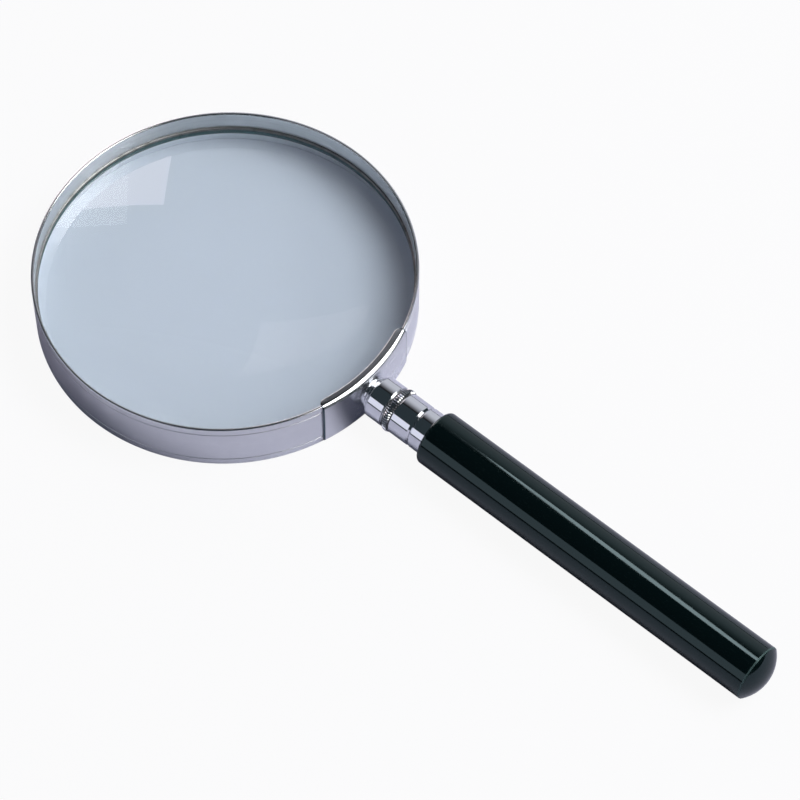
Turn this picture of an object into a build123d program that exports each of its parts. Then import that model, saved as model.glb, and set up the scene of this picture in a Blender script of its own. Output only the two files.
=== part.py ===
"""Round hand lens with a deep chromed rim and a straight black handle, in millimetres.

The origin is the optical centre of the glass. +Z is the optical axis and +X runs along the handle.
The rim, glass, saddle and neck are the head. The knurled collar, ferrule and grip unscrew from the
head's stud, with the joint washer between them.
"""

import os
from math import cos, radians, sin, sqrt

from build123d import *

os.makedirs("parts", exist_ok=True)

# Glass: a biconvex disc, ground flat round its edge.
LENS_RADIUS = 50.0
LENS_SURFACE_RADIUS = 260.0
LENS_EDGE_HALF = 1.6
LENS_BEVEL = 0.3

# Rim: a strip of steel rolled into a ring, its butt joint under the saddle.
RIM_RADIUS = 51.0
RIM_WALL = 0.8
RIM_BORE = RIM_RADIUS - RIM_WALL
RIM_HALF = 8.0
RIM_EDGE_ROUND = 0.25
RIM_JOINT_GAP = 0.3
RIM_JOINT_ANGLE = 11.0
ROLLED_LINE_BELOW_EDGE = 2.4
ROLLED_LINE_RADIUS = 0.16

# Spring wires, sprung into grooves, hold the glass from above and below.
WIRE_RADIUS = 0.45
WIRE_PITCH_RADIUS = RIM_BORE - 0.1
WIRE_HEIGHT = LENS_EDGE_HALF + 0.26
WIRE_GROOVE_RADIUS = WIRE_RADIUS + 0.03
WIRE_GAP_HALF_ANGLE = 6.0

# Saddle: a bent plate that covers the joint and hooks over both edges of the rim.
SADDLE_HALF_ANGLE = 18.3
SADDLE_WALL = 0.65
SADDLE_FOLD = 0.9
SADDLE_RADIUS = RIM_RADIUS + SADDLE_WALL
LIP_RADIUS = 48.8
LIP_CORNER = 1.6
SEAT = 0.02

# Stud: a countersunk screw, its head sunk in the rim, saddle and neck.
STUD_RADIUS = 2.0
STUD_HEAD_RADIUS = 3.9
STUD_HEAD_DEPTH = 1.9
STUD_END = 69.6
STUD_SLOT = 1.0
STUD_SLOT_DEPTH = 0.7

# Neck collar: a narrow base and a round bead.
NECK_BASE_RADIUS = 4.4
NECK_BASE_BACK = 52.3
NECK_GROOVE_RADIUS = 4.0
BEAD_RADIUS = 5.0
BEAD_FRONT = 52.4
BEAD_BACK = 53.25

# Ferrule: stations along the handle's axis, and outside radii.
BARREL_RADIUS = 5.95
BARREL_FRONT = 53.35
BARREL_FRONT_ROUND = 0.7
BARREL_WALL_BACK = 54.6
BARREL_BACK = 58.85
BARREL_BORE = 4.9
WASHER_THICKNESS = 0.4
WASHER_RADIUS = 5.4
COLLAR_FRONT = BARREL_BACK + WASHER_THICKNESS
COLLAR_BACK = 61.75
COLLAR_RADIUS = 6.35
COLLAR_SEAT = 4.6
KNURL_COUNT = 54
KNURL_DEPTH = 0.3
FERRULE_GROOVE = 68.1
FERRULE_GROOVE_DEPTH = 0.3
SPIGOT_RADIUS = 5.05
SPIGOT_BACK = 90.0
EDGE_BREAK = 0.3
INSERT_RADIUS = 3.0
INSERT_BACK = 88.0
THREAD_SLACK = 0.05

# Grip: a black tube clamped by a rod, closed by a domed plug.
GRIP_FRONT = 72.6
GRIP_BACK = 177.7
GRIP_RADIUS = 7.7
GRIP_BORE = 5.1
GRIP_FRONT_ROUND = 1.0
COUNTERBORE = 6.3
COUNTERBORE_FRONT = 162.0
ROD_FRONT = 76.0
ROD_BACK = 171.2
ROD_CHAMFER = 0.4
DOME_HEIGHT = 3.2
PARTING_GAP = 0.06
PLUG_FRONT = 172.2
PLUG_WALL = 1.05
PLUG_FACE = 0.6

# Fasteners for the 4 mm thread.
NUT_ACROSS_FLATS = 7.0
NUT_THICKNESS = 3.2
NUT_BORE = STUD_RADIUS + SEAT
SPRING_WASHER_RADIUS = 3.7
SPRING_WASHER_THICKNESS = 0.8
SPRING_WASHER_GAP = 0.5
CLEARANCE_BORE = STUD_RADIUS + 0.15
REAR_BUSH_LENGTH = 4.0
REAR_WASHER_RADIUS = 4.5
REAR_WASHER_THICKNESS = 0.8


def radial_plane(angle):
    """The plane through the optical axis at this angle: x outwards, y along the optical axis."""
    a = radians(angle)
    return Plane(origin=(0, 0, 0), x_dir=(cos(a), sin(a), 0), z_dir=(sin(a), -cos(a), 0))


def lens_height(radius):
    """Height of the glass's upper surface above its mid-plane."""
    shoulder = LENS_RADIUS - LENS_BEVEL
    drop = sqrt(LENS_SURFACE_RADIUS**2 - radius**2) - sqrt(LENS_SURFACE_RADIUS**2 - shoulder**2)
    return LENS_EDGE_HALF + drop


def countersink_outline():
    """Half-section of the stud head's tapered seat, from inside the rim to the neck."""
    front = RIM_BORE - 1
    back = RIM_BORE + STUD_HEAD_DEPTH
    wide = STUD_HEAD_RADIUS + SEAT
    narrow = STUD_RADIUS + SEAT
    return [(front, 0), (front, wide), (RIM_BORE, wide), (back, narrow), (back + 1, narrow), (back + 1, 0)]


def save(piece, name):
    """Labels the finished piece and writes its STEP file."""
    piece.label = name
    export_step(piece, f"parts/{name}.step")


# ---------------------------------------------------------------- the glass and the rim
with BuildPart() as lens:
    with BuildSketch(Plane.XZ):
        with BuildLine():
            shoulder = LENS_RADIUS - LENS_BEVEL
            flank = LENS_EDGE_HALF - LENS_BEVEL
            for side in (1, -1):
                ThreePointArc(
                    (0, side * lens_height(0)),
                    (shoulder / 2, side * lens_height(shoulder / 2)),
                    (shoulder, side * LENS_EDGE_HALF),
                )
            Polyline(
                (shoulder, LENS_EDGE_HALF),
                (LENS_RADIUS, flank),
                (LENS_RADIUS, -flank),
                (shoulder, -LENS_EDGE_HALF),
            )
            Line((0, -lens_height(0)), (0, lens_height(0)))
        make_face()
    revolve(axis=Axis.Z)
save(lens.part, "lens")

with BuildPart() as rim_band:
    with BuildSketch(Plane.XZ):
        with Locations((RIM_RADIUS - RIM_WALL / 2, 0)):
            RectangleRounded(RIM_WALL, 2 * RIM_HALF, RIM_EDGE_ROUND)
        for side in (-1, 1):
            with Locations((RIM_RADIUS, side * (RIM_HALF - ROLLED_LINE_BELOW_EDGE))):
                Circle(ROLLED_LINE_RADIUS, mode=Mode.SUBTRACT)
            with Locations((WIRE_PITCH_RADIUS, side * WIRE_HEIGHT)):
                Circle(WIRE_GROOVE_RADIUS, mode=Mode.SUBTRACT)
    revolve(axis=Axis.Z)
    # Both edges are cut back under the saddle's lips, so that the lips end up flush.
    with BuildSketch(radial_plane(-SADDLE_HALF_ANGLE)):
        for side, outward in ((-1, Align.MAX), (1, Align.MIN)):
            with Locations((RIM_RADIUS, side * (RIM_HALF - SADDLE_WALL - SEAT))):
                Rectangle(4 * RIM_WALL, 2 * SADDLE_WALL, align=(Align.CENTER, outward))
    revolve(axis=Axis.Z, revolution_arc=2 * SADDLE_HALF_ANGLE, mode=Mode.SUBTRACT)
    # The butt joint, where the strip's two ends meet.
    with BuildSketch(radial_plane(RIM_JOINT_ANGLE)):
        with Locations((RIM_RADIUS, 0)):
            Rectangle(4 * RIM_WALL, 3 * RIM_HALF)
    extrude(amount=RIM_JOINT_GAP / 2, both=True, mode=Mode.SUBTRACT)
    # The seat of the stud's head.
    with BuildSketch(Plane.XZ):
        Polygon(*countersink_outline(), align=None)
    revolve(axis=Axis.X, mode=Mode.SUBTRACT)
save(rim_band.part, "rim_band")

for side, wire_name in ((1, "upper_retaining_wire"), (-1, "lower_retaining_wire")):
    with BuildPart() as retaining_wire:
        with BuildSketch(radial_plane(WIRE_GAP_HALF_ANGLE)):
            with Locations((WIRE_PITCH_RADIUS, side * WIRE_HEIGHT)):
                Circle(WIRE_RADIUS)
        revolve(axis=Axis.Z, revolution_arc=360 - 2 * WIRE_GAP_HALF_ANGLE)
    save(retaining_wire.part, wire_name)

with BuildPart() as saddle:
    # A channel section, swung round the rim: a back and a lip over each edge.
    with BuildSketch(radial_plane(-SADDLE_HALF_ANGLE)) as channel:
        with Locations((LIP_RADIUS, 0)):
            Rectangle(SADDLE_RADIUS - LIP_RADIUS, 2 * RIM_HALF, align=(Align.MIN, Align.CENTER))
        far_corners = channel.vertices().sort_by_distance((0, 0, 0))[-2:]
        fillet(far_corners, SADDLE_FOLD)
        Rectangle(
            RIM_RADIUS + SEAT,
            2 * (RIM_HALF - SADDLE_WALL),
            align=(Align.MIN, Align.CENTER),
            mode=Mode.SUBTRACT,
        )
    revolve(axis=Axis.Z, revolution_arc=2 * SADDLE_HALF_ANGLE)
    # Seen from above, the lips' inner corners are round.
    with BuildSketch(Plane.XY.offset(-2 * RIM_HALF)) as plan:
        with BuildLine():
            a = radians(SADDLE_HALF_ANGLE)
            outside = SADDLE_RADIUS + 1
            inside_low = (LIP_RADIUS * cos(a), -LIP_RADIUS * sin(a))
            inside_high = (LIP_RADIUS * cos(a), LIP_RADIUS * sin(a))
            outside_low = (outside * cos(a), -outside * sin(a))
            outside_high = (outside * cos(a), outside * sin(a))
            ThreePointArc(inside_low, (LIP_RADIUS, 0), inside_high)
            Line(inside_high, outside_high)
            ThreePointArc(outside_high, (outside, 0), outside_low)
            Line(outside_low, inside_low)
        make_face()
        fillet(plan.vertices().sort_by(Axis.X)[:2], LIP_CORNER)
    extrude(amount=4 * RIM_HALF, mode=Mode.INTERSECT)
    with BuildSketch(Plane.XZ):
        Polygon(*countersink_outline(), align=None)
    revolve(axis=Axis.X, mode=Mode.SUBTRACT)
save(saddle.part, "saddle")

# ---------------------------------------------------------------- the neck
with BuildPart() as stud_screw:
    with BuildSketch(Plane.XZ):
        Polygon(
            (RIM_BORE + SEAT, 0),
            (RIM_BORE + SEAT, STUD_HEAD_RADIUS),
            (RIM_BORE + STUD_HEAD_DEPTH, STUD_RADIUS),
            (STUD_END - ROD_CHAMFER, STUD_RADIUS),
            (STUD_END, STUD_RADIUS - ROD_CHAMFER),
            (STUD_END, 0),
            align=None,
        )
    revolve(axis=Axis.X)
    # Screwdriver slot, reached before the glass goes in.
    with BuildSketch(Plane.YZ.offset(RIM_BORE)):
        Rectangle(3 * STUD_HEAD_RADIUS, STUD_SLOT)
    extrude(amount=STUD_SLOT_DEPTH, mode=Mode.SUBTRACT)
save(stud_screw.part, "stud_screw")

with BuildPart() as neck_collar:
    with BuildSketch(Plane.XZ):
        bore = STUD_RADIUS + SEAT
        bead_shoulder = BEAD_RADIUS - (BEAD_BACK - BEAD_FRONT) / 2
        with BuildLine():
            Polyline(
                (LIP_RADIUS, bore),
                (LIP_RADIUS, NECK_BASE_RADIUS),
                (NECK_BASE_BACK, NECK_BASE_RADIUS),
                (NECK_BASE_BACK, NECK_GROOVE_RADIUS),
                (BEAD_FRONT, NECK_GROOVE_RADIUS),
                (BEAD_FRONT, bead_shoulder),
            )
            ThreePointArc(
                (BEAD_FRONT, bead_shoulder),
                ((BEAD_FRONT + BEAD_BACK) / 2, BEAD_RADIUS),
                (BEAD_BACK, bead_shoulder),
            )
            Polyline(
                (BEAD_BACK, bead_shoulder),
                (BEAD_BACK, NECK_GROOVE_RADIUS),
                (BARREL_FRONT, NECK_GROOVE_RADIUS),
                (BARREL_FRONT, bore),
                (LIP_RADIUS, bore),
            )
        make_face()
    revolve(axis=Axis.X)
    # Hollowed to sit on the saddle's round back.
    Cylinder(SADDLE_RADIUS + SEAT, 4 * RIM_HALF, mode=Mode.SUBTRACT)
    with BuildSketch(Plane.XZ):
        Polygon(*countersink_outline(), align=None)
    revolve(axis=Axis.X, mode=Mode.SUBTRACT)
save(neck_collar.part, "neck_collar")

with BuildPart() as front_barrel:
    with BuildSketch(Plane.XZ):
        running_bore = STUD_RADIUS + THREAD_SLACK
        round_end = BARREL_FRONT + BARREL_FRONT_ROUND
        round_start = BARREL_RADIUS - BARREL_FRONT_ROUND
        with BuildLine():
            Line((BARREL_FRONT, running_bore), (BARREL_FRONT, round_start))
            RadiusArc((BARREL_FRONT, round_start), (round_end, BARREL_RADIUS), BARREL_FRONT_ROUND)
            Polyline(
                (round_end, BARREL_RADIUS),
                (BARREL_BACK - EDGE_BREAK, BARREL_RADIUS),
                (BARREL_BACK, BARREL_RADIUS - EDGE_BREAK),
                (BARREL_BACK, BARREL_BORE),
                (BARREL_WALL_BACK, BARREL_BORE),
                (BARREL_WALL_BACK, running_bore),
                (BARREL_FRONT, running_bore),
            )
        make_face()
    revolve(axis=Axis.X)
save(front_barrel.part, "front_barrel")

with BuildPart() as spring_washer:
    with BuildSketch(Plane.YZ.offset(BARREL_WALL_BACK)):
        Circle(SPRING_WASHER_RADIUS)
        Circle(STUD_RADIUS + THREAD_SLACK, mode=Mode.SUBTRACT)
        with Locations((0, SPRING_WASHER_RADIUS)):
            Rectangle(SPRING_WASHER_GAP, 2 * (SPRING_WASHER_RADIUS - STUD_RADIUS) + 1, mode=Mode.SUBTRACT)
    extrude(amount=SPRING_WASHER_THICKNESS)
save(spring_washer.part, "spring_washer")

with BuildPart() as lock_nut:
    with BuildSketch(Plane.YZ.offset(BARREL_WALL_BACK + SPRING_WASHER_THICKNESS)):
        RegularPolygon(NUT_ACROSS_FLATS / 2, 6, major_radius=False)
        Circle(NUT_BORE, mode=Mode.SUBTRACT)
    extrude(amount=NUT_THICKNESS)
save(lock_nut.part, "lock_nut")

with BuildPart() as joint_washer:
    with BuildSketch(Plane.YZ.offset(BARREL_BACK)):
        Circle(WASHER_RADIUS)
        Circle(STUD_RADIUS + THREAD_SLACK, mode=Mode.SUBTRACT)
    extrude(amount=WASHER_THICKNESS)
save(joint_washer.part, "joint_washer")

# ---------------------------------------------------------------- the handle
with BuildPart() as knurled_collar:
    with BuildSketch(Plane.XZ):
        with BuildLine():
            collar_edge = BARREL_RADIUS - EDGE_BREAK
            collar_middle = (COLLAR_FRONT + COLLAR_BACK) / 2
            ThreePointArc(
                (COLLAR_FRONT, collar_edge),
                (collar_middle, COLLAR_RADIUS),
                (COLLAR_BACK, collar_edge),
            )
            Polyline(
                (COLLAR_BACK, collar_edge),
                (COLLAR_BACK, COLLAR_SEAT + SEAT),
                (COLLAR_FRONT, COLLAR_SEAT + SEAT),
                (COLLAR_FRONT, collar_edge),
            )
        make_face()
    revolve(axis=Axis.X)
    # Straight knurling: V grooves all the way round.
    with BuildSketch(Plane.YZ.offset(COLLAR_FRONT)):
        with PolarLocations(COLLAR_RADIUS, KNURL_COUNT):
            Polygon((0, KNURL_DEPTH), (0, -KNURL_DEPTH), (-KNURL_DEPTH, 0), align=None)
    extrude(amount=COLLAR_BACK - COLLAR_FRONT, mode=Mode.SUBTRACT)
save(knurled_collar.part, "knurled_collar")

with BuildPart() as ferrule:
    with BuildSketch(Plane.XZ):
        Polygon(
            (COLLAR_FRONT, INSERT_RADIUS + SEAT),
            (COLLAR_FRONT, COLLAR_SEAT),
            (COLLAR_BACK, COLLAR_SEAT),
            (COLLAR_BACK, BARREL_RADIUS - EDGE_BREAK),
            (COLLAR_BACK + EDGE_BREAK, BARREL_RADIUS),
            (FERRULE_GROOVE - FERRULE_GROOVE_DEPTH, BARREL_RADIUS),
            (FERRULE_GROOVE, BARREL_RADIUS - FERRULE_GROOVE_DEPTH),
            (FERRULE_GROOVE + FERRULE_GROOVE_DEPTH, BARREL_RADIUS),
            (GRIP_FRONT - SEAT, BARREL_RADIUS),
            (GRIP_FRONT - SEAT, SPIGOT_RADIUS),
            (SPIGOT_BACK - EDGE_BREAK, SPIGOT_RADIUS),
            (SPIGOT_BACK, SPIGOT_RADIUS - EDGE_BREAK),
            (SPIGOT_BACK, INSERT_RADIUS + SEAT),
            align=None,
        )
    revolve(axis=Axis.X)
save(ferrule.part, "ferrule")

with BuildPart() as thread_insert:
    with BuildSketch(Plane.YZ.offset(COLLAR_FRONT + SEAT)):
        Circle(INSERT_RADIUS)
        Circle(STUD_RADIUS + THREAD_SLACK, mode=Mode.SUBTRACT)
    extrude(amount=INSERT_BACK - COLLAR_FRONT)
save(thread_insert.part, "thread_insert")

with BuildPart() as grip_tube:
    with BuildSketch(Plane.XZ):
        round_end = GRIP_FRONT + GRIP_FRONT_ROUND
        round_start = GRIP_RADIUS - GRIP_FRONT_ROUND
        with BuildLine():
            Line((GRIP_FRONT, GRIP_BORE), (GRIP_FRONT, round_start))
            RadiusArc((GRIP_FRONT, round_start), (round_end, GRIP_RADIUS), GRIP_FRONT_ROUND)
            Polyline(
                (round_end, GRIP_RADIUS),
                (GRIP_BACK - PARTING_GAP, GRIP_RADIUS),
                (GRIP_BACK, GRIP_RADIUS - PARTING_GAP),
                (GRIP_BACK, COUNTERBORE),
                (COUNTERBORE_FRONT, COUNTERBORE),
                (COUNTERBORE_FRONT, GRIP_BORE),
                (GRIP_FRONT, GRIP_BORE),
            )
        make_face()
    revolve(axis=Axis.X)
save(grip_tube.part, "grip_tube")

with BuildPart() as tie_rod:
    with BuildSketch(Plane.YZ.offset(ROD_FRONT)):
        Circle(STUD_RADIUS)
    extrude(amount=ROD_BACK - ROD_FRONT)
    chamfer(tie_rod.edges().filter_by(GeomType.CIRCLE), ROD_CHAMFER)
save(tie_rod.part, "tie_rod")

REAR_WASHER_FRONT = COUNTERBORE_FRONT + REAR_BUSH_LENGTH
REAR_NUT_FRONT = REAR_WASHER_FRONT + REAR_WASHER_THICKNESS

with BuildPart() as rear_bush:
    with BuildSketch(Plane.YZ.offset(COUNTERBORE_FRONT)):
        Circle(COUNTERBORE - THREAD_SLACK)
        Circle(CLEARANCE_BORE, mode=Mode.SUBTRACT)
    extrude(amount=REAR_BUSH_LENGTH)
save(rear_bush.part, "rear_bush")

with BuildPart() as rear_washer:
    with BuildSketch(Plane.YZ.offset(REAR_WASHER_FRONT)):
        Circle(REAR_WASHER_RADIUS)
        Circle(CLEARANCE_BORE, mode=Mode.SUBTRACT)
    extrude(amount=REAR_WASHER_THICKNESS)
save(rear_washer.part, "rear_washer")

with BuildPart() as rear_nut:
    with BuildSketch(Plane.YZ.offset(REAR_NUT_FRONT)):
        RegularPolygon(NUT_ACROSS_FLATS / 2, 6, major_radius=False)
        Circle(NUT_BORE, mode=Mode.SUBTRACT)
    extrude(amount=NUT_THICKNESS)
save(rear_nut.part, "rear_nut")

with BuildPart() as end_plug:
    with BuildSketch(Plane.XZ):
        dome_rim = GRIP_BACK + PARTING_GAP
        dome_tip = GRIP_BACK + DOME_HEIGHT
        skirt = COUNTERBORE - THREAD_SLACK
        # A spherical cap: its radius follows from the rim's radius and the dome's height.
        rise = dome_tip - dome_rim
        dome_radius = (GRIP_RADIUS**2 + rise**2) / (2 * rise)
        middle = GRIP_RADIUS / 2
        with BuildLine():
            ThreePointArc(
                (dome_rim, GRIP_RADIUS),
                (dome_tip - dome_radius + sqrt(dome_radius**2 - middle**2), middle),
                (dome_tip, 0),
            )
            Polyline(
                (dome_tip, 0),
                (GRIP_BACK - PLUG_FACE, 0),
                (GRIP_BACK - PLUG_FACE, skirt - PLUG_WALL),
                (PLUG_FRONT, skirt - PLUG_WALL),
                (PLUG_FRONT, skirt - EDGE_BREAK),
                (PLUG_FRONT + EDGE_BREAK, skirt),
                (dome_rim, skirt),
                (dome_rim, GRIP_RADIUS),
            )
        make_face()
    revolve(axis=Axis.X)
save(end_plug.part, "end_plug")
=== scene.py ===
"""Looks for a round hand lens: glass, chromed rim, turned neck and black handle around the CAD frame.

Metres, in the CAD frame: the origin is the optical centre, +Z the optical axis, +X along the handle.
"""

import math

import bmesh
import bpy
from bpy.props import FloatProperty, FloatVectorProperty, IntProperty, PointerProperty
from mathutils import Matrix, Quaternion, Vector


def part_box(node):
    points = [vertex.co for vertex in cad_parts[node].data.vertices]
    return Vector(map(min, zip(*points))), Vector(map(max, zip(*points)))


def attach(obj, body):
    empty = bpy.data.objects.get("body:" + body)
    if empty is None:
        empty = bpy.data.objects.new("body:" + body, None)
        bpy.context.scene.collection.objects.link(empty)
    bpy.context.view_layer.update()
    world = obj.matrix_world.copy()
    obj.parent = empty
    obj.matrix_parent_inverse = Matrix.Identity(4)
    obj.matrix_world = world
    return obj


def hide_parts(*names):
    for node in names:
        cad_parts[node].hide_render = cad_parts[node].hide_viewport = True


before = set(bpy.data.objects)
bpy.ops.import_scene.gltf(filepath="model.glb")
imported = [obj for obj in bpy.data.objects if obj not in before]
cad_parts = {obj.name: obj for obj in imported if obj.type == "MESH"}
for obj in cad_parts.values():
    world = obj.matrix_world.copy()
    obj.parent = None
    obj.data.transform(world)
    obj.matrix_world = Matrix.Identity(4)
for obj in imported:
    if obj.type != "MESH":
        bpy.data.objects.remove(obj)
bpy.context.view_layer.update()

bl_info = {
    "name": "Hand lens",
    "version": (1, 0, 0),
    "blender": (4, 5, 0),
    "location": "3D View > Sidebar > Hand lens",
    "description": "Builds the visible pieces of a hand lens around its CAD frame",
    "category": "Object",
}

MM = 0.001

# ---------------------------------------------------------------- sizes taken from the frame


def turned(node):
    """Front station, back station and outside radius of a node turned about the handle's axis."""
    low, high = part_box(node)
    return low.x, high.x, high.z


LENS_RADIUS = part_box("lens")[1].x
LENS_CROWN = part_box("lens")[1].z
RIM_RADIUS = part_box("rim_band")[1].y
RIM_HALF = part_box("rim_band")[1].z
SADDLE_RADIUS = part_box("saddle")[1].x
FLOOR_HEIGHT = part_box("rim_band")[0].z
BARREL_FRONT, BARREL_BACK, BARREL_RADIUS = turned("front_barrel")
COLLAR_FRONT, COLLAR_BACK, COLLAR_RADIUS = turned("knurled_collar")
FERRULE_BACK = turned("ferrule")[1]
STUD_END = turned("stud_screw")[1]
GRIP_FRONT, GRIP_BACK, GRIP_RADIUS = turned("grip_tube")
PLUG_FRONT, PLUG_TIP = turned("end_plug")[:2]

# ---------------------------------------------------------------- sizes inside the pieces
LENS_SURFACE_RADIUS = 260 * MM
LENS_EDGE_HALF = 1.6 * MM
LENS_BEVEL = 0.3 * MM
RIM_BORE = RIM_RADIUS - 0.8 * MM
RIM_EDGE_ROUND = 0.25 * MM
RIM_JOINT_ANGLE = 11.0
RIM_JOINT_HALF = 0.17
ROLLED_LINE_HEIGHT = RIM_HALF - 2.4 * MM
ROLLED_LINE_RADIUS = 0.16 * MM
WIRE_RADIUS = 0.45 * MM
WIRE_PITCH_RADIUS = RIM_BORE - 0.1 * MM
WIRE_HEIGHT = LENS_EDGE_HALF + 0.26 * MM
WIRE_GROOVE = WIRE_RADIUS + 0.03 * MM
WIRE_GAP = 6.0
SADDLE_ANGLE = 18.3
SADDLE_WALL = 0.65 * MM
SADDLE_FOLD = 1.45 * MM
LIP_RADIUS = 48.8 * MM
LIP_CORNER = 1.6 * MM
SEAT = 0.02 * MM
STUD_RADIUS = 2.0 * MM
STUD_HEAD_RADIUS = 3.9 * MM
STUD_HEAD_DEPTH = 1.9 * MM
SLOT_DEPTH = 0.7 * MM
SLOT_HALF = 0.5 * MM
NECK_BASE_RADIUS = 4.4 * MM
NECK_BASE_BACK = 52.15 * MM
NECK_GROOVE_RADIUS = 3.7 * MM
BEAD_RADIUS = 5.0 * MM
BEAD_FRONT = 52.42 * MM
BEAD_BACK = 53.15 * MM
BARREL_BORE = 4.9 * MM
BARREL_WALL_BACK = 54.6 * MM
COLLAR_SEAT = 4.6 * MM
RUNNING_BORE = STUD_RADIUS + 0.05 * MM
INSERT_RADIUS = 3.0 * MM
FERRULE_GROOVE = 68.1 * MM
FERRULE_GROOVE_DEPTH = 0.5 * MM
SPIGOT_RADIUS = 5.05 * MM
GRIP_BORE = 5.1 * MM
COUNTERBORE = 6.3 * MM
COUNTERBORE_FRONT = 162 * MM
PARTING_GAP = 0.06 * MM
PLUG_WALL = 1.05 * MM
PLUG_FACE = 0.6 * MM

# Smoothness of the meshes: steps on a corner's arc, and steps round the pieces.
CORNER_STEPS = 5
TURN_STEPS = 160
HANDLE_STEPS = 200
SCREW_STEPS = 64
GLASS_STEPS = 720
RIM_STEPS = 400
SHARP = math.radians(32)

# Half the width of a thread's or knurl's groove, as a share of the pitch.
GROOVE_HALF = 0.42


# ---------------------------------------------------------------- outlines and meshes
def spread(start, end, steps):
    """Evenly spaced values from start to end, both included."""
    return [start + (end - start) * k / steps for k in range(steps + 1)]


def crowded(size):
    """Values from 0 to this size that crowd towards 0, where an edge rounds off."""
    return [size * (1 - math.cos(math.radians(angle))) for angle in range(0, 91, 15)]


def groove(turn):
    """Depth of a V-shaped groove, from 0 to 1, where turn runs from 0 to 1 across one pitch."""
    return max(0.0, 1 - abs(turn - 0.5) / GROOVE_HALF)


def arc(across, along, radius, start, end, steps):
    """Points on a circle from one angle to another, in degrees."""
    angles = [math.radians(angle) for angle in spread(start, end, steps)]
    return [Vector((across + radius * math.cos(a), along + radius * math.sin(a))) for a in angles]


def softened(corners):
    """A closed outline through the corners (x, y, radius), each rounded by an arc of its radius."""
    points = []
    for i, (x, y, radius) in enumerate(corners):
        corner = Vector((x, y))
        if not radius:
            points.append(corner)
            continue
        before = (Vector(corners[i - 1][:2]) - corner).normalized()
        after = (Vector(corners[(i + 1) % len(corners)][:2]) - corner).normalized()
        half = before.angle(after) / 2
        centre = corner + (before + after).normalized() * radius / math.sin(half)
        start = corner + before * radius / math.tan(half) - centre
        end = corner + after * radius / math.tan(half) - centre
        turn = -start.angle_signed(end)
        for k in range(CORNER_STEPS + 1):
            points.append(centre + Matrix.Rotation(turn * k / CORNER_STEPS, 2) @ start)
    return points


def shrunk(outline, amount):
    """The closed outline moved inwards by this amount, whichever way round it runs."""
    area = sum(a.cross(b) for a, b in zip(outline, outline[1:] + outline[:1]))
    side = math.copysign(amount, area)
    moved = []
    for i, point in enumerate(outline):
        along = (outline[(i + 1) % len(outline)] - outline[i - 1]).normalized()
        moved.append(point + Vector((-along.y, along.x)) * side)
    return moved


def swung(outline, angle):
    """The outline (out, up) placed in the plane through the optical axis at this angle, in degrees."""
    a = math.radians(angle)
    return [Vector((p.x * math.cos(a), p.x * math.sin(a), p.y)) for p in outline]


def hoop(station, radius, steps):
    """A circle round the handle's axis. The radius is a number or a function of the angle."""
    points = []
    for k in range(steps):
        a = 2 * math.pi * k / steps
        r = radius(a) if callable(radius) else radius
        points.append(Vector((station, r * math.cos(a), r * math.sin(a))))
    return points


def as_object(name, mesh):
    """The finished mesh as an object in the scene."""
    data = bpy.data.meshes.new(name)
    mesh.to_mesh(data)
    mesh.free()
    made = bpy.data.objects.new(name, data)
    bpy.context.scene.collection.objects.link(made)
    return made


def skin(name, rings, wrap=True):
    """A closed mesh through rings of equal length. It wraps round, or its two ends are capped."""
    mesh = bmesh.new()
    rows = [[mesh.verts.new(p) for p in ring] for ring in rings]
    following = rows[1:] + rows[:1] if wrap else rows[1:]
    for row, after in zip(rows, following):
        for k in range(len(row)):
            mesh.faces.new((row[k - 1], row[k], after[k], after[k - 1]))
    if not wrap:
        mesh.faces.new(rows[0])
        mesh.faces.new(rows[-1])
    bmesh.ops.remove_doubles(mesh, verts=mesh.verts, dist=1e-7)
    bmesh.ops.recalc_face_normals(mesh, faces=mesh.faces)
    return as_object(name, mesh)


def lathe(name, outline, steps=TURN_STEPS):
    """The closed outline (station, radius) turned about the handle's axis."""
    rings = []
    for k in range(steps):
        a = 2 * math.pi * k / steps
        rings.append([Vector((p.x, p.y * math.cos(a), p.y * math.sin(a))) for p in outline])
    return skin(name, rings)


def cut(piece, cutter):
    """Takes the cutter's solid out of the piece, and removes the cutter."""
    modifier = piece.modifiers.new("cut", "BOOLEAN")
    modifier.object = cutter
    modifier.operation = "DIFFERENCE"
    modifier.solver = "EXACT"
    bpy.context.view_layer.update()
    found = piece.evaluated_get(bpy.context.evaluated_depsgraph_get())
    piece.modifiers.clear()
    piece.data = bpy.data.meshes.new_from_object(found)
    bpy.data.objects.remove(cutter)


def countersink():
    """The cone that the stud's head sits in, a little wider than the head."""
    front = RIM_BORE - 1 * MM
    back = RIM_BORE + STUD_HEAD_DEPTH
    wide = STUD_HEAD_RADIUS + SEAT
    narrow = STUD_RADIUS + SEAT
    outline = [(front, 0, 0), (front, wide, 0), (RIM_BORE, wide, 0), (back, narrow, 0)]
    outline += [(back + 1 * MM, narrow, 0), (back + 1 * MM, 0, 0)]
    return lathe("countersink", softened(outline), SCREW_STEPS)


def finish_piece(piece, body, slot, nodes, *materials):
    """Smooths the piece, gives it its materials and ties it to the frame."""
    for material in materials:
        piece.data.materials.append(material)
    piece.data.shade_smooth()
    piece.data.set_sharp_from_angle(angle=SHARP)
    weighted = piece.modifiers.new("weighted_normals", "WEIGHTED_NORMAL")
    weighted.keep_sharp = True
    weighted.weight = 80
    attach(piece, body)
    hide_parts(*nodes)
    return piece


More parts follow.
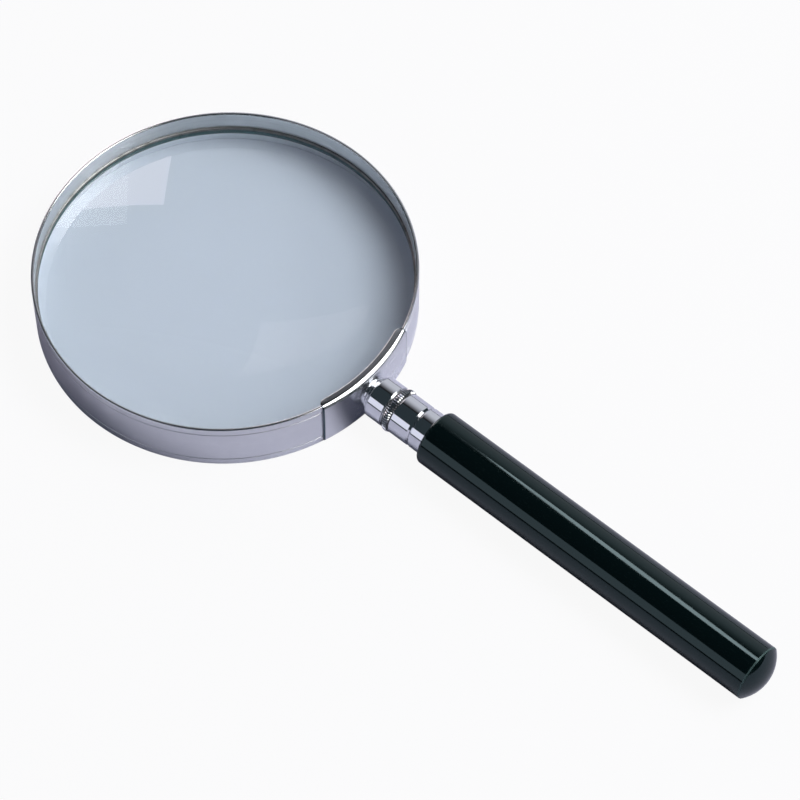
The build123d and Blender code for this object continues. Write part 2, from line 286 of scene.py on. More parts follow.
# ---------------------------------------------------------------- shader maths
class Signal:
    """A shader socket that takes part in Python arithmetic by adding the nodes it stands for."""

    def __init__(self, tree, socket):
        self.tree = tree
        self.socket = socket
        self.kind = socket.type

    def node(self, kind, settings, sockets, output=0):
        """Adds a node: its type, its settings, then the values or links of its sockets."""
        made = self.tree.nodes.new(kind)
        for name, value in settings.items():
            setattr(made, name, value)
        for name, value in sockets.items():
            if isinstance(value, Signal):
                self.tree.links.new(value.socket, made.inputs[name])
            else:
                made.inputs[name].default_value = value
        return Signal(self.tree, made.outputs[output])

    def combine(self, operation, first, second):
        """A Math node, or a Vector Math node where either side is a vector."""
        sides = [first, second]
        vector = any(isinstance(s, tuple) or getattr(s, "kind", "") == "VECTOR" for s in sides)
        if vector:
            sides = [(s, s, s) if isinstance(s, (int, float)) else s for s in sides]
        kind = "ShaderNodeVectorMath" if vector else "ShaderNodeMath"
        return self.node(kind, {"operation": operation}, dict(enumerate(sides)))

    def __add__(self, other):
        return self.combine("ADD", self, other)

    def __radd__(self, other):
        return self.combine("ADD", other, self)

    def __sub__(self, other):
        return self.combine("SUBTRACT", self, other)

    def __rsub__(self, other):
        return self.combine("SUBTRACT", other, self)

    def __mul__(self, other):
        return self.combine("MULTIPLY", self, other)

    def __rmul__(self, other):
        return self.combine("MULTIPLY", other, self)

    def __abs__(self):
        return self.node("ShaderNodeMath", {"operation": "ABSOLUTE"}, {0: self})

    def axis(self, index):
        """One coordinate of a vector: 0, 1 or 2."""
        return self.node("ShaderNodeSeparateXYZ", {}, {0: self}, index)

    def length(self):
        """The length of a vector."""
        return self.node("ShaderNodeVectorMath", {"operation": "LENGTH"}, {0: self}, "Value")

    def noise(self, scale, detail=3.0, roughness=0.5):
        """Smooth noise from 0 to 1 at this point, about this many grains to the metre."""
        sockets = {"Vector": self, "Scale": scale, "Detail": detail, "Roughness": roughness}
        return self.node("ShaderNodeTexNoise", {"noise_dimensions": "3D"}, sockets)

    def between(self, low, high):
        """A smooth step: 0 up to low, and 1 from high."""
        sockets = {"Value": self, "From Min": low, "From Max": high}
        return self.node("ShaderNodeMapRange", {"interpolation_type": "SMOOTHSTEP"}, sockets)

    def near(self, place, reach):
        """A mask that is 1 at this value and fades to 0 within reach of it."""
        return 1 - abs(self - place).between(0.0, reach)

    def blend(self, low, high):
        """The colour low where this mask is 0, and high where it is 1."""
        sockets = {0: self, 6: low, 7: high}
        return self.node("ShaderNodeMix", {"data_type": "RGBA"}, sockets, 2)

    def fade(self, first, second):
        """The first shader where this factor is 0, and the second where it is 1."""
        return self.node("ShaderNodeMixShader", {}, {0: self, 1: first, 2: second})

    def bump(self, distance):
        """A normal from this height, which stands for this distance in metres."""
        return self.node("ShaderNodeBump", {}, {"Height": self, "Distance": distance})


class Finish:
    """A material being written: its surface shader, and the point in the object's own coordinates."""

    def __init__(self, name, **plain):
        self.material = bpy.data.materials.new(name)
        self.material.use_nodes = True
        self.tree = self.material.node_tree
        self.shader = self.tree.nodes["Principled BSDF"]
        for socket, value in plain.items():
            self.shader.inputs[socket.replace("_", " ")].default_value = value
        self.surface = Signal(self.tree, self.shader.outputs[0])
        self.point = self.surface.node("ShaderNodeTexCoord", {}, {}, "Object")

    def feed(self, socket, signal):
        """Links what varies over the surface to one of the shader's sockets."""
        self.tree.links.new(signal.socket, self.shader.inputs[socket])

    def show(self, signal):
        """Makes this shader the one that is seen, in place of the plain surface."""
        self.tree.links.new(signal.socket, self.tree.nodes["Material Output"].inputs["Surface"])


def shade(colour, factor):
    """The colour made darker or lighter by this factor, as RGBA."""
    return tuple(min(1.0, c * factor) for c in colour[:3]) + (1.0,)


# ---------------------------------------------------------------- materials
GLASS_INDEX = 1.523


def optical_glass(name, colour, mirror):
    """Clear polished glass with a breath of dust and wiping marks. Lamps shine through it.

    It keeps this share, mirror, of the reflection that bare glass has.
    """
    sheen = (mirror, mirror, mirror, 1)
    finish = Finish(name, Base_Color=shade(colour, 1), Transmission_Weight=1.0, Specular_Tint=sheen)
    finish.shader.inputs["IOR"].default_value = GLASS_INDEX
    wiped = (finish.point * (1.0, 3.0, 1.0)).noise(60.0, 5.0, 0.6)
    specks = finish.point.noise(2600.0, 2.0)
    finish.feed("Roughness", wiped.between(0.55, 0.95) * 0.03 + specks.between(0.74, 0.8) * 0.05)
    clear = finish.surface.node("ShaderNodeBsdfTransparent", {}, {"Color": shade(colour, 1)})
    shadow = finish.surface.node("ShaderNodeLightPath", {}, {}, "Is Shadow Ray")
    finish.show(shadow.fade(finish.surface, clear))
    return finish.material


def ground_glass(colour):
    """The ground edge of the glass: frosted, with fine grinding marks round it, and painted near black as
    shade.
    """
    finish = Finish("ground_glass", IOR=GLASS_INDEX)
    grinding = (finish.point * (1.0, 1.0, 12.0)).noise(900.0, 3.0)
    # Painted shade: the edge is near black in the glass's own tint, standing in for the shade it traps.
    edge_shade_colour = (colour[0] * 0.05, colour[1] * 0.11, colour[2] * 0.13)
    finish.feed("Base Color", grinding.blend(shade(edge_shade_colour, 0.8), shade(edge_shade_colour, 1.2)))
    finish.feed("Roughness", grinding * 0.2 + 0.45)
    finish.feed("Normal", finish.point.noise(9000.0, 2.0).bump(0.004 * MM))
    return finish.material


def satin_chrome(name, colour, roughness, end_shade=0.0):
    """Satin chromed strip: fine lines along its length, polished edges, faint handling marks.

    With the last argument at 1 the plate's two sheared ends get a painted dark shade line, and at 0 none.
    """
    finish = Finish(name, Metallic=1.0)
    lines = (finish.point * (1.0, 1.0, 60.0)).noise(260.0, 4.0, 0.6)
    handled = finish.point.noise(70.0, 4.0, 0.6)
    height = abs(finish.point.axis(2))
    edge = height.between(RIM_HALF - 0.5 * MM, RIM_HALF)
    # The rolled lines get a darker tone: painted shade in these small grooves.
    rolled_shade = height.near(ROLLED_LINE_HEIGHT, 2.4 * ROLLED_LINE_RADIUS)
    rubbed = handled.between(0.45, 0.8)
    tone = (lines * 0.5 + rubbed * 0.35) * (1 - rolled_shade * 0.6)
    plated = tone.blend(shade(colour, 0.82), shade(colour, 1.04))
    # Painted shade: a dark line along the plate's two ends, within half a millimetre of each end's plane.
    angle = math.radians(SADDLE_ANGLE)
    beyond = abs(finish.point.axis(1)) * math.cos(angle) - finish.point.axis(0) * math.sin(angle)
    end_shade_mask = beyond.near(0.0, 0.5 * MM) * end_shade
    finish.feed("Base Color", end_shade_mask.between(0.1, 0.5).blend(plated, (0.03, 0.07, 0.09, 1)))
    finish.feed("Roughness", (lines * 0.10 + rubbed * 0.06 + roughness) * (1 - edge * 0.5))
    finish.feed("Normal", lines.bump(0.0016 * MM))
    return finish.material


def turned_chrome(colour):
    """Mirror chrome over turned brass: turning marks, hairlines, painted shade in grooves and knurl."""
    finish = Finish("turned_chrome", Metallic=1.0)
    point = finish.point
    turning = (point * (40.0, 1.0, 1.0)).noise(420.0, 3.0)
    hairlines = (point * (1.0, 9.0, 9.0)).noise(1500.0, 2.0).between(0.62, 0.7)
    station = point.axis(0)
    # Painted shade: the grooves of the neck and ferrule and the knurl's valleys are darkened, and made a
    # little rougher.
    groove_shade = station.near((NECK_BASE_BACK + BEAD_FRONT) / 2, 0.16 * MM)
    groove_shade = groove_shade + station.near((BEAD_BACK + BARREL_FRONT) / 2, 0.16 * MM)
    groove_shade = groove_shade + station.near(FERRULE_GROOVE, 0.12 * MM)
    from_axis = (point * (0.0, 1.0, 1.0)).length()
    valley = 1 - from_axis.between(COLLAR_RADIUS - 0.4 * MM, COLLAR_RADIUS - 0.15 * MM)
    collar = station.near((COLLAR_FRONT + COLLAR_BACK) / 2, (COLLAR_BACK - COLLAR_FRONT) * 0.62)
    groove_shade = groove_shade + collar.between(0.0, 0.2) * valley
    tarnish = point.noise(240.0, 4.0, 0.6).between(0.5, 0.9)
    tone = 1 - tarnish * 0.15 - groove_shade * 0.8
    finish.feed("Base Color", tone.blend(shade(colour, 0.12), shade(colour, 1)))
    finish.feed("Roughness", turning * 0.03 + hairlines * 0.07 + groove_shade * 0.2 + tarnish * 0.03 + 0.03)
    finish.feed("Normal", turning.bump(0.0008 * MM))
    return finish.material


def moulded_plastic(colour):
    """Glossy black plastic: a soft ripple, hairline scratches, worn ends and a pale parting line."""
    finish = Finish("moulded_plastic", IOR=1.53, Specular_Tint=(0.7, 1.0, 1.0, 1))
    point = finish.point
    ripple = point.noise(520.0, 2.0)
    scratches = (point * (1.0, 14.0, 14.0)).noise(620.0, 2.0).between(0.66, 0.72)
    smears = (point * (1.0, 2.5, 2.5)).noise(60.0, 4.0, 0.6).between(0.45, 0.85)
    ends = point.axis(0).near(GRIP_FRONT, 1.6 * MM) + point.axis(0).near(GRIP_BACK, 0.8 * MM)
    worn = ends * point.noise(1400.0, 3.0).between(0.45, 0.7)
    dust = point.noise(5200.0, 2.0).between(0.76, 0.8)
    parting = point.axis(0).near(GRIP_BACK, 0.3 * MM).between(0.1, 0.6)
    marks = scratches * 0.1 + worn * 0.3 + dust * 0.15 + parting
    finish.feed("Base Color", marks.blend(shade(colour, 1), (0.05, 0.085, 0.085, 1)))
    finish.feed("Roughness", smears * 0.06 + scratches * 0.12 + worn * 0.2 + parting * 0.3 + 0.06)
    finish.feed("Normal", (ripple + scratches * -0.05).bump(0.003 * MM))
    return finish.material


def machined(name, colour, roughness, grain):
    """Plated or turned metal for the fittings: grain round the handle's axis and dull patches."""
    finish = Finish(name, Metallic=1.0)
    turning = (finish.point * (grain, 1.0, 1.0)).noise(500.0, 3.0)
    patches = finish.point.noise(380.0, 4.0, 0.6).between(0.4, 0.75)
    finish.feed("Base Color", patches.blend(shade(colour, 1), shade(colour, 0.72)))
    finish.feed("Roughness", turning * 0.12 + patches * 0.14 + roughness)
    finish.feed("Normal", turning.bump(0.002 * MM))
    return finish.material


# ---------------------------------------------------------------- what a user may change
def colour_property(name, description, default):
    """A base colour that a user may change."""
    return FloatVectorProperty(
        name=name, description=description, default=default, size=3, min=0.0, max=1.0, subtype="COLOR"
    )


class HandLensDetails(bpy.types.PropertyGroup):
    """Counts and sizes of the details that the frame leaves to the looks."""

    knurl_teeth: IntProperty(
        name="Knurl teeth", description="Teeth round the collar", default=54, min=20, max=90
    )
    knurl_depth: FloatProperty(
        name="Knurl depth", description="Depth of the knurl's grooves", default=0.42 * MM, unit="LENGTH"
    )
    thread_pitch: FloatProperty(
        name="Thread pitch", description="Pitch of the stud's thread", default=0.7 * MM, unit="LENGTH"
    )
    edge_break: FloatProperty(
        name="Edge break", description="Rounding of the turned edges", default=0.12 * MM, unit="LENGTH"
    )


class HandLensColours(bpy.types.PropertyGroup):
    """Base colours of the finishes."""

    glass: colour_property("Glass", "Tint of the glass", (0.82, 0.87, 0.86))
    satin: colour_property("Satin chrome", "Rim and saddle", (0.93, 0.95, 0.98))
    bright: colour_property("Bright chrome", "Neck, collar and ferrule", (0.83, 0.85, 0.89))
    plastic: colour_property("Plastic", "Handle and end plug", (0.0006, 0.0030, 0.0034))
    steel: colour_property("Steel", "Screw, nuts, washers and wires", (0.56, 0.57, 0.58))
    brass: colour_property("Brass", "Insert and rear bush", (0.66, 0.47, 0.20))


class HandLensStudio(bpy.types.PropertyGroup):
    """Floor and lamps."""

    floor: colour_property("Floor", "Colour of the floor", (0.54, 0.54, 0.66))
    key: FloatProperty(name="Key lamp", description="Brightness of the key lamp", default=7.6, min=0.0)
    edge: FloatProperty(
        name="Edge lamp", description="Lamp mirrored in the saddle's fold", default=2.2, min=0.0
    )
    lens: FloatProperty(name="Lens lamp", description="Lamp mirrored in the glass", default=2.3, min=0.0)


# ---------------------------------------------------------------- the head
class HANDLENS_OT_glass(bpy.types.Operator):
    """Builds the biconvex glass with its ground edge"""

    bl_idname = "handlens.glass"
    bl_label = "Glass"

    def execute(self, context):
        shoulder = LENS_RADIUS - LENS_BEVEL
        sink = LENS_CROWN - LENS_SURFACE_RADIUS
        reach = math.degrees(math.asin(shoulder / LENS_SURFACE_RADIUS))
        upper = arc(0, sink, LENS_SURFACE_RADIUS, 90, 90 - reach, 60)
        lower = arc(0, -sink, LENS_SURFACE_RADIUS, reach - 90, -90, 60)
        flank = LENS_EDGE_HALF - LENS_BEVEL
        edge = [Vector((LENS_RADIUS, flank)), Vector((LENS_RADIUS, -flank))]
        outline = upper + edge + lower
        rings = [swung(outline, 360 * step / GLASS_STEPS) for step in range(GLASS_STEPS)]
        piece = skin("glass_disc", rings)
        tint = context.scene.hand_lens_colours.glass
        clear = optical_glass("optical_glass", tint, 1.0)
        coated = optical_glass("coated_glass", tint, 0.15)
        finish_piece(piece, "head", "optical_glass", ["lens"], clear, coated, ground_glass(tint))
        for face in piece.data.polygons:
            ground = math.hypot(*face.center.xy) > shoulder - 0.01 * MM
            face.material_index = 2 if ground else int(face.center.z < 0)
        return {"FINISHED"}


class HANDLENS_OT_rim(bpy.types.Operator):
    """Builds the rolled rim strip with its two rolled lines and its butt joint"""

    bl_idname = "handlens.rim"
    bl_label = "Rim"

    def section(self, half):
        """The strip's section (out, up) at this half-height."""
        opening = math.degrees(math.acos((RIM_BORE - WIRE_PITCH_RADIUS) / WIRE_GROOVE))
        inside = []
        for side in (-1, 1):
            inside += arc(WIRE_PITCH_RADIUS, side * WIRE_HEIGHT, WIRE_GROOVE, -opening, opening, 8)
        outside = []
        for side in (1, -1):
            outside += arc(RIM_RADIUS, side * ROLLED_LINE_HEIGHT, ROLLED_LINE_RADIUS, 90, 270, 8)
        r = RIM_EDGE_ROUND
        top = arc(RIM_BORE + r, half - r, r, 180, 90, 5) + arc(RIM_RADIUS - r, half - r, r, 90, 0, 5)
        bottom = [Vector((p.x, -p.y)) for p in reversed(top)]
        return inside + top + outside + bottom

    def execute(self, context):
        full = self.section(RIM_HALF)
        under = self.section(RIM_HALF - SADDLE_WALL - SEAT)
        start = RIM_JOINT_ANGLE + RIM_JOINT_HALF
        end = RIM_JOINT_ANGLE - RIM_JOINT_HALF + 360
        rings = [swung(under, angle) for angle in spread(start, SADDLE_ANGLE, 8)]
        rings += [swung(full, angle) for angle in spread(SADDLE_ANGLE, 360 - SADDLE_ANGLE, RIM_STEPS)]
        rings += [swung(under, angle) for angle in spread(360 - SADDLE_ANGLE, end, 32)]
        piece = skin("rim_ring", rings, wrap=False)
        cut(piece, countersink())
        satin = satin_chrome("satin_rim", context.scene.hand_lens_colours.satin, 0.26)
        finish_piece(piece, "head", "satin_chrome", ["rim_band"], satin)
        return {"FINISHED"}


class HANDLENS_OT_saddle(bpy.types.Operator):
    """Builds the saddle plate that covers the rim's joint and hooks over both edges"""

    bl_idname = "handlens.saddle"
    bl_label = "Saddle"

    def section(self, lip):
        """The plate's channel section, its lips reaching in to this radius."""
        inside = RIM_RADIUS + SEAT
        low = RIM_HALF - SADDLE_WALL
        corners = [
            (lip, RIM_HALF, 0.2 * MM),
            (SADDLE_RADIUS, RIM_HALF, SADDLE_FOLD),
            (SADDLE_RADIUS, -RIM_HALF, SADDLE_FOLD),
            (lip, -RIM_HALF, 0.2 * MM),
            (lip, -low, 0.2 * MM),
            (inside, -low, 0.1 * MM),
            (inside, low, 0.1 * MM),
            (lip, low, 0.2 * MM),
        ]
        return softened(corners)

    def execute(self, context):
        edge = 0.14 * MM
        length = math.radians(SADDLE_ANGLE) * LIP_RADIUS
        stations = crowded(edge) + spread(edge, LIP_CORNER, 12)[1:] + spread(LIP_CORNER, length, 30)[1:]
        rings = []
        for distance in stations:
            into = max(0.0, LIP_CORNER - distance)
            lip = LIP_RADIUS + LIP_CORNER - math.sqrt(LIP_CORNER**2 - into**2)
            lip = min(lip, SADDLE_RADIUS - SADDLE_FOLD - 0.3 * MM)
            back = max(0.0, edge - distance)
            inset = edge - math.sqrt(edge**2 - back**2)
            outline = shrunk(self.section(lip), inset) if inset else self.section(lip)
            rings.append((SADDLE_ANGLE * (distance / length - 1), outline))
        both = [swung(outline, angle) for angle, outline in rings]
        both += [swung(outline, -angle) for angle, outline in reversed(rings[:-1])]
        piece = skin("saddle_plate", both, wrap=False)
        cut(piece, countersink())
        satin = satin_chrome("satin_saddle", context.scene.hand_lens_colours.satin, 0.2, 1.0)
        finish_piece(piece, "head", "satin_chrome", ["saddle"], satin)
        return {"FINISHED"}


class HANDLENS_OT_wires(bpy.types.Operator):
    """Builds the two spring wires that hold the glass"""

    bl_idname = "handlens.wires"
    bl_label = "Retaining wires"

    def execute(self, context):
        steel = machined("spring_steel", shade(context.scene.hand_lens_colours.steel, 0.5), 0.4, 1.0)
        half_round = math.degrees(WIRE_RADIUS / WIRE_PITCH_RADIUS)
        for side, name in ((1, "upper"), (-1, "lower")):
            end = [WIRE_GAP + angle for angle in crowded(half_round)]
            middle = spread(end[-1], 360 - end[-1], 360)[1:-1]
            rings = []
            for angle in end + middle + [360 - a for a in reversed(end)]:
                gap = min(angle, 360 - angle) - WIRE_GAP
                back = max(0.0, 1 - gap / half_round)
                radius = max(WIRE_RADIUS * math.sqrt(1 - min(1.0, back) ** 2), 0.02 * MM)
                rings.append(swung(arc(WIRE_PITCH_RADIUS, side * WIRE_HEIGHT, radius, 0, 345, 23), angle))
            piece = skin(f"{name}_wire", rings, wrap=False)
            finish_piece(piece, "head", "spring_steel", [f"{name}_retaining_wire"], steel)
        return {"FINISHED"}


class HANDLENS_OT_stud(bpy.types.Operator):
    """Builds the stud screw with its slotted head and cut thread"""

    bl_idname = "handlens.stud"
    bl_label = "Stud screw"

    def execute(self, context):
        pitch = context.scene.hand_lens_details.thread_pitch
        crest = STUD_RADIUS - 0.02 * MM
        depth = 0.6 * pitch
        chamfer = 0.12 * MM
        head = RIM_BORE - chamfer
        thread_front = BARREL_FRONT + 0.4 * MM

        def thread(station):
            """The thread's outside at this station: a radius for each angle round the axis."""
            grow = min(1.0, (station - thread_front) / pitch, (STUD_END - station) / pitch + 0.25)
            point = 0.3 * MM * (1 - min(1.0, (STUD_END - station) / (0.4 * MM)))

            def radius(angle):
                turn = (station / pitch - angle / (2 * math.pi)) % 1
                return crest - depth * groove(turn) * max(0.0, grow) - point

            return radius

        rings = [
            hoop(head, STUD_HEAD_RADIUS - 0.2 * MM, SCREW_STEPS),
            hoop(head + chamfer, STUD_HEAD_RADIUS, SCREW_STEPS),
            hoop(RIM_BORE + STUD_HEAD_DEPTH, STUD_RADIUS, SCREW_STEPS),
        ]
        steps = round((STUD_END - thread_front) / pitch * 12)
        for station in spread(thread_front, STUD_END, steps):
            rings.append(hoop(station, thread(station), SCREW_STEPS))
        piece = skin("threaded_stud", rings, wrap=False)
        outside, inside = head - 1 * MM, head + SLOT_DEPTH
        slot = [(outside, -SLOT_HALF, 0), (inside, -SLOT_HALF, 0.1 * MM)]
        slot += [(inside, SLOT_HALF, 0.1 * MM), (outside, SLOT_HALF, 0)]
        ends = [[Vector((p.x, y, p.y)) for p in softened(slot)] for y in (-5 * MM, 5 * MM)]
        cut(piece, skin("slot", ends, wrap=False))
        steel = machined("plated_screw", context.scene.hand_lens_colours.steel, 0.16, 1.0)
        finish_piece(piece, "head", "plated_steel", ["stud_screw"], steel)
        return {"FINISHED"}


class HANDLENS_OT_neck(bpy.types.Operator):
    """Builds the stepped neck collar, hollowed to sit on the saddle"""

    bl_idname = "handlens.neck"
    bl_label = "Neck collar"

    def execute(self, context):
        soft = context.scene.hand_lens_details.edge_break
        bore = STUD_RADIUS + SEAT
        front = SADDLE_RADIUS - 1 * MM
        corners = [
            (front, bore, 0),
            (front, NECK_BASE_RADIUS, 0),
            (NECK_BASE_BACK, NECK_BASE_RADIUS, 2 * soft),
            (NECK_BASE_BACK, NECK_GROOVE_RADIUS, 0),
            (BEAD_FRONT, NECK_GROOVE_RADIUS, 0),
            (BEAD_FRONT, BEAD_RADIUS, 0.34 * MM),
            (BEAD_BACK, BEAD_RADIUS, 0.34 * MM),
            (BEAD_BACK, NECK_GROOVE_RADIUS, 0),
            (BARREL_FRONT, NECK_GROOVE_RADIUS, 0),
            (BARREL_FRONT, bore, 0),
        ]
        piece = lathe("stepped_neck", softened(corners))
        seat = SADDLE_RADIUS + SEAT
        for vertex in piece.data.vertices:
            if vertex.co.x < NECK_BASE_BACK - 2 * soft:
                vertex.co.x = math.sqrt(seat**2 - vertex.co.y**2)
        finish_piece(piece, "head", "bright_chrome", ["neck_collar"], shared_chrome(context))
        return {"FINISHED"}


class HANDLENS_OT_front_barrel(bpy.types.Operator):
    """Builds the bright barrel that stays on the head"""

    bl_idname = "handlens.front_barrel"
    bl_label = "Front barrel"

    def execute(self, context):
        soft = context.scene.hand_lens_details.edge_break
        corners = [
            (BARREL_FRONT, RUNNING_BORE, 0),
            (BARREL_FRONT, BARREL_RADIUS, 0.65 * MM),
            (BARREL_BACK, BARREL_RADIUS, 2 * soft),
            (BARREL_BACK, BARREL_BORE, soft),
            (BARREL_WALL_BACK, BARREL_BORE, soft),
            (BARREL_WALL_BACK, RUNNING_BORE, 0),
        ]
        piece = lathe("barrel_shell", softened(corners))
        finish_piece(piece, "head", "bright_chrome", ["front_barrel"], shared_chrome(context))
        return {"FINISHED"}


# ---------------------------------------------------------------- the handle
class HANDLENS_OT_knurled_collar(bpy.types.Operator):
    """Builds the crowned collar with its knurled teeth and smooth lips"""

    bl_idname = "handlens.knurled_collar"
    bl_label = "Knurled collar"

    def execute(self, context):
        details = context.scene.hand_lens_details
        middle = (COLLAR_FRONT + COLLAR_BACK) / 2
        half = (COLLAR_BACK - COLLAR_FRONT) / 2
        rise = COLLAR_RADIUS - BARREL_RADIUS + 0.3 * MM
        crown = (half**2 + rise**2) / (2 * rise)
        around = details.knurl_teeth * 12

        def outside(station):
            """The collar's outside at this station: a radius for each angle round the axis."""
            base = COLLAR_RADIUS - crown + math.sqrt(crown**2 - (station - middle) ** 2)
            lip = min(1.0, max(0.0, (half - abs(station - middle) - 0.1 * MM) / (0.16 * MM)))
            fade = lip * lip * (3 - 2 * lip)

            def radius(angle):
                tooth, turn = divmod(angle * details.knurl_teeth / (2 * math.pi), 1)
                pressed = 0.88 + 0.12 * math.sin(tooth * 2.4) * math.cos(tooth * 0.9)
                return base - details.knurl_depth * pressed * fade * groove(turn)

            return radius

        stations = [middle - half * math.cos(math.pi * k / 28) for k in range(29)]
        rings = [hoop(station, outside(station), around) for station in stations]
        rings += [hoop(station, COLLAR_SEAT + SEAT, around) for station in (COLLAR_BACK, COLLAR_FRONT)]
        piece = skin("knurled_ring", rings)
        finish_piece(piece, "handle", "bright_chrome", ["knurled_collar"], shared_chrome(context))
        return {"FINISHED"}


class HANDLENS_OT_ferrule(bpy.types.Operator):
    """Builds the bright ferrule with its turned groove and its spigot"""

    bl_idname = "handlens.ferrule"
    bl_label = "Ferrule"

    def execute(self, context):
        soft = context.scene.hand_lens_details.edge_break
        depth = FERRULE_GROOVE_DEPTH
        corners = [
            (COLLAR_FRONT, INSERT_RADIUS + SEAT, 0),
            (COLLAR_FRONT, COLLAR_SEAT, soft),
            (COLLAR_BACK, COLLAR_SEAT, 0),
            (COLLAR_BACK, BARREL_RADIUS, 2 * soft),
            (FERRULE_GROOVE - 1.1 * depth, BARREL_RADIUS, soft),
            (FERRULE_GROOVE, BARREL_RADIUS - depth, 0.5 * soft),
            (FERRULE_GROOVE + 1.1 * depth, BARREL_RADIUS, soft),
            (GRIP_FRONT - SEAT, BARREL_RADIUS, 0),
            (GRIP_FRONT - SEAT, SPIGOT_RADIUS, 0),
            (FERRULE_BACK, SPIGOT_RADIUS, 2 * soft),
            (FERRULE_BACK, INSERT_RADIUS + SEAT, 0),
        ]
        piece = lathe("ferrule_sleeve", softened(corners))
        finish_piece(piece, "handle", "bright_chrome", ["ferrule"], shared_chrome(context))
        return {"FINISHED"}


class HANDLENS_OT_grip(bpy.types.Operator):
    """Builds the black handle tube"""

    bl_idname = "handlens.grip"
    bl_label = "Handle tube"

    def execute(self, context):
        corners = [
            (GRIP_FRONT, GRIP_BORE, 0),
            (GRIP_FRONT, GRIP_RADIUS, 1.0 * MM),
            (GRIP_BACK, GRIP_RADIUS, 0.1 * MM),
            (GRIP_BACK, COUNTERBORE, 0),
            (COUNTERBORE_FRONT, COUNTERBORE, 0),
            (COUNTERBORE_FRONT, GRIP_BORE, 0),
        ]
        piece = lathe("grip_shell", softened(corners), HANDLE_STEPS)
        finish_piece(piece, "handle", "black_plastic", ["grip_tube"], shared_plastic(context))
        highlight_group().objects.link(piece)
        return {"FINISHED"}


class HANDLENS_OT_end_plug(bpy.types.Operator):
    """Builds the domed plug that closes the handle"""

    bl_idname = "handlens.end_plug"
    bl_label = "End plug"

    def execute(self, context):
        soft = context.scene.hand_lens_details.edge_break
        rim = GRIP_BACK + PARTING_GAP
        rise = PLUG_TIP - rim
        dome = (GRIP_RADIUS**2 + rise**2) / (2 * rise)
        reach = math.degrees(math.asin(GRIP_RADIUS / dome))
        skirt = COUNTERBORE - 0.05 * MM
        cap = arc(PLUG_TIP - dome, 0, dome, 0, reach - 0.6, 24)
        hollow = [
            (rim, GRIP_RADIUS - 0.05 * MM, 0),
            (rim, skirt, 0),
            (PLUG_FRONT, skirt, 2 * soft),
            (PLUG_FRONT, skirt - PLUG_WALL, soft),
            (GRIP_BACK - PLUG_FACE, skirt - PLUG_WALL, soft),
            (GRIP_BACK - PLUG_FACE, 0, 0),
        ]
        piece = lathe("plug_dome", cap + softened(hollow), HANDLE_STEPS)
        finish_piece(piece, "handle", "black_plastic", ["end_plug"], shared_plastic(context))
        highlight_group().objects.link(piece)
        return {"FINISHED"}


class HANDLENS_OT_fittings(bpy.types.Operator):
    """Gives the CAD fittings inside the neck and handle their metals"""

    bl_idname = "handlens.fittings"
    bl_label = "Inner fittings"

    def execute(self, context):
        colours = context.scene.hand_lens_colours
        steel = machined("plated_fitting", colours.steel, 0.18, 20.0)
        spring = machined("spring_fitting", shade(colours.steel, 0.7), 0.25, 4.0)
        brass = machined("turned_brass", colours.brass, 0.2, 30.0)
        fittings = {
            steel: ("lock_nut", "joint_washer", "tie_rod", "rear_washer", "rear_nut"),
            spring: ("spring_washer",),
            brass: ("thread_insert", "rear_bush"),
        }
        for material, nodes in fittings.items():
            for node in nodes:
                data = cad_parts[node].data
                data.materials.clear()
                data.materials.append(material)
        return {"FINISHED"}


def shared_chrome(context):
    """The mirror chrome of the turned pieces, made once."""
    found = bpy.data.materials.get("turned_chrome")
    return found or turned_chrome(context.scene.hand_lens_colours.bright)


def shared_plastic(context):
    """The black plastic of the handle and its plug, made once."""
    found = bpy.data.materials.get("moulded_plastic")
    return found or moulded_plastic(context.scene.hand_lens_colours.plastic)


# ---------------------------------------------------------------- the stage
# The camera: the way its right side points, its height over the horizon and its roll, in degrees,
# its focal length in millimetres, and its place from the origin to its right, upwards and backwards.
CAMERA_AZIMUTH = 40.866
CAMERA_ELEVATION = 57.242
CAMERA_ROLL = 0.143
CAMERA_LENS = 162.05
CAMERA_RIGHT = 45.913 * MM
CAMERA_UP = -30.663 * MM
CAMERA_BACK = 952.3 * MM

# How much of the floor's own colour a white glow covers where the camera sees it.
FLOOR_GLOW = 0.93


def compass(azimuth, elevation):
    """A direction from azimuth, anticlockwise from +X, and elevation, in degrees."""
    a, e = math.radians(azimuth), math.radians(elevation)
    return Vector((math.cos(a) * math.cos(e), math.sin(a) * math.cos(e), math.sin(e)))


def aim(made, azimuth, elevation, distance, shift=(0, 0), turn=0):
    """Makes a lamp or card face the object, shifted and turned in its plane. No camera sees it."""
    direction = compass(azimuth, elevation)
    facing = direction.to_track_quat("Z", "Y")
    made.location = direction * distance + facing @ Vector((*shift, 0))
    made.rotation_mode = "QUATERNION"
    made.rotation_quaternion = facing @ Quaternion((0, 0, 1), math.radians(turn))
    made.visible_camera = False


def lamp(name, azimuth, elevation, distance, width, height, radiance, colour, shift=(0, 0), turn=0):
    """A soft rectangular lamp that faces the object."""
    data = bpy.data.lights.new(name, "AREA")
    data.shape = "RECTANGLE"
    data.size = width
    data.size_y = height
    data.energy = radiance * math.pi * width * height
    data.color = colour
    made = bpy.data.objects.new(name, data)
    aim(made, azimuth, elevation, distance, shift, turn)
    bpy.context.scene.collection.objects.link(made)
    return made


def highlight_group():
    """The collection of the pieces that the handle's own lamp shines on."""
    found = bpy.data.collections.get("highlighted")
    return found or bpy.data.collections.new("highlighted")


